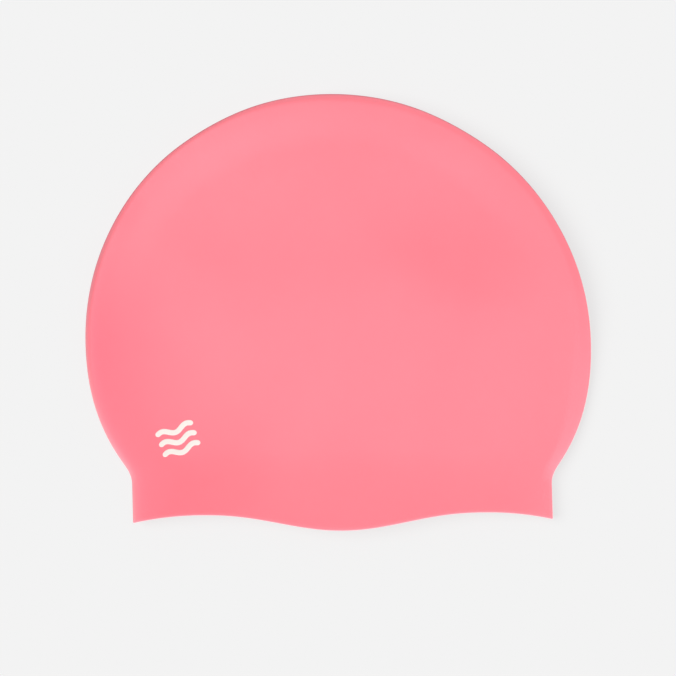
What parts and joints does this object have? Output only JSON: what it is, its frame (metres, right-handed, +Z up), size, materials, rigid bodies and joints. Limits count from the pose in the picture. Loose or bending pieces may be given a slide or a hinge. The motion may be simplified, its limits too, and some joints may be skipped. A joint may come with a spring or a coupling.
{
  "type": "swim cap",
  "caption": "Moulded silicone swim cap lying flat on its side: a thin hollow dome with a narrower neck band, wavy rim with an ear flap, and open mouth.",
  "frame": {"origin": "on the surface the cap lies on, under the middle of its bounding box", "axes": "+X from the front fold to the back fold, +Y from the open rim to the top of the crown, +Z up from the surface"},
  "size_m": [0.22, 0.1897, 0.0146],
  "materials": {
    "cap_silicone": "matte moulded coral pink silicone"
  },
  "bodies": {
    "root": {"cap_shell": "cap_silicone"}
  },
  "joints": []
}
